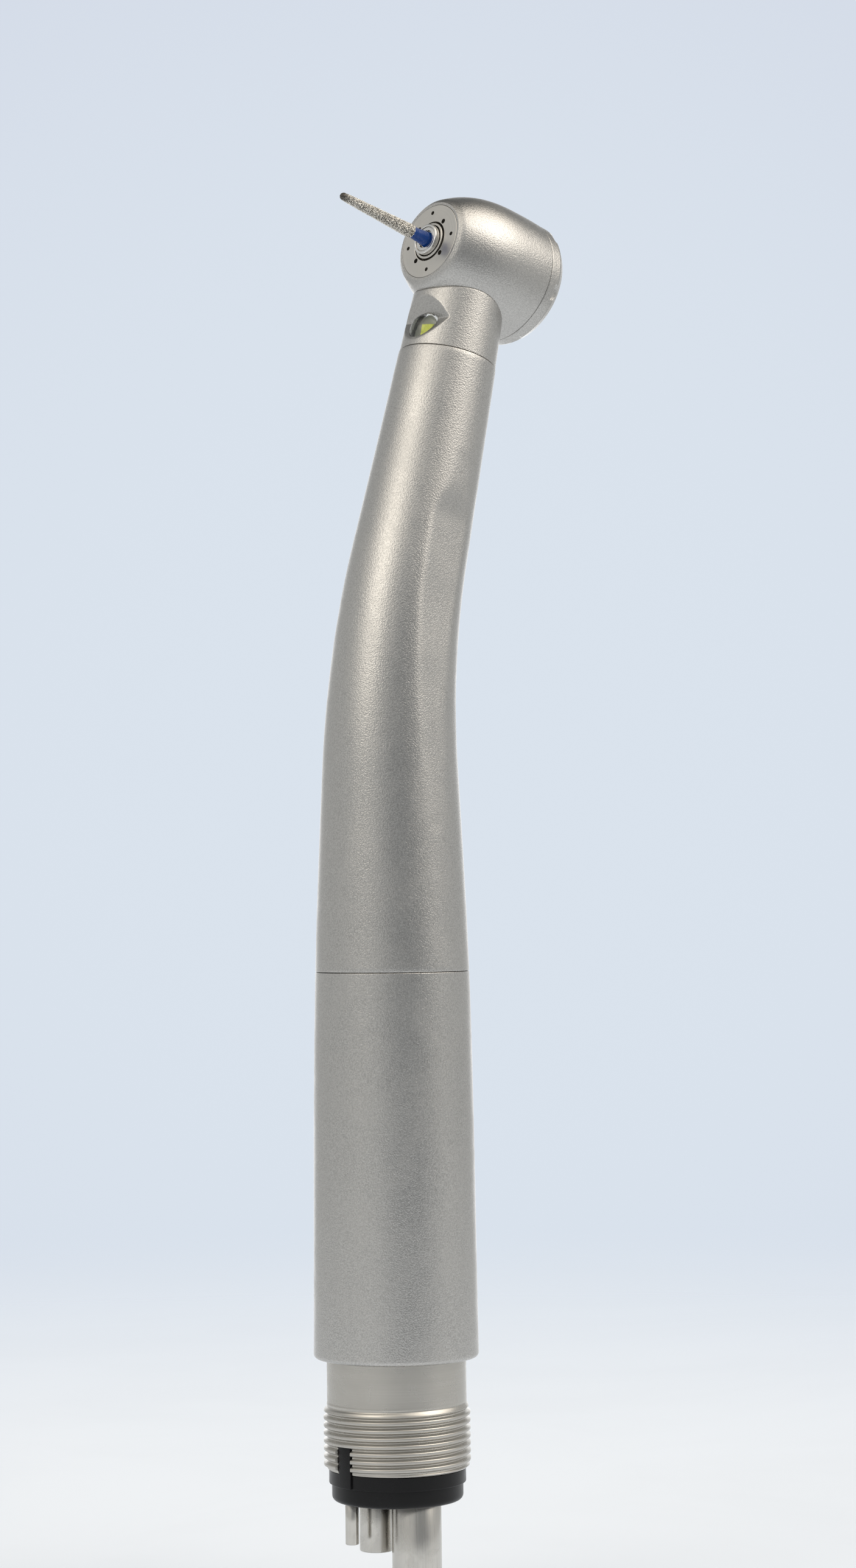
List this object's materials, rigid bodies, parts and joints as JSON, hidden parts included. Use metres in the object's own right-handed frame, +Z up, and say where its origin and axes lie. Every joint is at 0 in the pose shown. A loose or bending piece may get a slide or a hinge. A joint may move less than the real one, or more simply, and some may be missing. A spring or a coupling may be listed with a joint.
{
  "type": "high speed dental handpiece",
  "caption": "High speed dental handpiece: air turbine head with push button chuck, diamond bur, light in the neck, bent handle and threaded hose connector with supply tubes.",
  "frame": {"origin": "centre of the rear face of the black tube seat, where the hose coupling seats, on the handle axis", "axes": "+Z up the straight handle towards the head; the neck leans towards +X and the bur points towards -X; +Y is to the side"},
  "size_m": [0.026, 0.0148, 0.1288],
  "materials": {
    "body_metal": "satin, bead-blasted and clear-coated stainless steel",
    "face_metal": "fine turned satin steel",
    "connector_metal": "satin turned steel thread",
    "tube_metal": "drawn steel, satin with fine lengthwise marks",
    "polished_steel": "polished steel",
    "black_plastic": "black moulded plastic, semi-gloss",
    "black_rubber": "matte rubber",
    "clear_lens": "clear polished lens",
    "led_yellow": "yellow phosphor chip",
    "circuit_board": "green board",
    "red_insulation": "wire insulation",
    "aluminium_part": "turned aluminium",
    "copper_coil": "enamelled copper wire",
    "magnet_grey": "sintered magnet",
    "bronze": "sintered bronze",
    "bearing_steel": "ground bearing steel",
    "ceramic_ball": "polished ceramic",
    "cage_resin": "fibre resin",
    "bur_steel": "ground steel shank",
    "blue_paint": "blue colour-code paint, semi-gloss",
    "diamond_coat": "diamond grit bonded in nickel, sparkling"
  },
  "bodies": {
    "handpiece": {"threaded_connector": "connector_metal", "tube_seat": "black_plastic", "exhaust_tube": "tube_metal", "drive_air_tube": "tube_metal", "water_tube": "tube_metal", "chip_air_tube": "tube_metal", "connector_o_ring": "black_rubber", "line_manifold": "aluminium_part", "rear_body_shell": "body_metal", "front_body_shell": "body_metal", "body_seam_o_ring": "black_rubber", "seam_junction": "aluminium_part", "drive_air_line": "tube_metal", "water_line": "tube_metal", "chip_air_line": "tube_metal", "led_wires": "red_insulation", "generator_case": "aluminium_part", "generator_coil": "copper_coil", "generator_bearings": "bronze", "light_collar": "body_metal", "light_lens": "clear_lens", "led_chip": "led_yellow", "led_board": "circuit_board", "head_housing": "body_metal", "face_plate": "face_metal", "nose_bushing": "face_metal", "back_cap": "body_metal", "button_spring": "bearing_steel", "front_outer_ring": "bearing_steel", "front_o_ring": "black_rubber", "rear_outer_ring": "bearing_steel", "rear_o_ring": "black_rubber", "wave_washer": "bearing_steel"},
    "turbine_rotor": {"spindle": "polished_steel", "chuck_collet": "bearing_steel", "rotor_impeller": "aluminium_part", "front_inner_ring": "bearing_steel", "rear_inner_ring": "bearing_steel"},
    "front_cage": {"front_balls": "ceramic_ball", "front_ball_cage": "cage_resin"},
    "rear_cage": {"rear_balls": "ceramic_ball", "rear_ball_cage": "cage_resin"},
    "chuck_pin": {"chuck_push_pin": "bearing_steel"},
    "bur": {"bur_shank": "bur_steel", "bur_neck": "blue_paint", "bur_head": "diamond_coat"},
    "button": {"push_button": "face_metal", "release_plunger": "bearing_steel"},
    "generator_rotor": {"generator_magnet": "magnet_grey", "generator_shaft": "polished_steel", "generator_impeller": "ceramic_ball"}
  },
  "joints": [
    {"name": "turbine_spin", "type": "hinge", "parent": "handpiece", "child": "turbine_rotor", "pos_m": [0.01017, 0, 0.11259], "axis": [-0.965, 0, 0.2622], "continuous": true},
    {"name": "front_cage_spin", "type": "hinge", "parent": "handpiece", "child": "front_cage", "pos_m": [0.01017, 0, 0.11259], "axis": [-0.965, 0, 0.2622], "continuous": true},
    {"name": "rear_cage_spin", "type": "hinge", "parent": "handpiece", "child": "rear_cage", "pos_m": [0.01017, 0, 0.11259], "axis": [-0.965, 0, 0.2622], "continuous": true},
    {"name": "bur_pull", "type": "slide", "parent": "turbine_rotor", "child": "bur", "axis": [-0.965, 0, 0.2622], "range_m": [0, 0.009]},
    {"name": "button_press", "type": "slide", "parent": "handpiece", "child": "button", "axis": [-0.965, 0, 0.2622], "range_m": [0, 0.0006], "stiffness_N_per_m": 400, "springref_m": -0.0002},
    {"name": "chuck_pin_slide", "type": "slide", "parent": "turbine_rotor", "child": "chuck_pin", "axis": [-0.965, 0, 0.2622], "range_m": [-0.0001, 0.0007]},
    {"name": "generator_spin", "type": "hinge", "parent": "handpiece", "child": "generator_rotor", "pos_m": [-0.0024, -0.0016, 0.03], "axis": [0, 0, 1], "continuous": true}
  ],
  "couplings": [
    {"joint": "front_cage_spin", "follows": "turbine_spin", "ratio": 0.3952},
    {"joint": "rear_cage_spin", "follows": "turbine_spin", "ratio": 0.3952},
    {"joint": "chuck_pin_slide", "follows": "button_press", "ratio": 1}
  ]
}
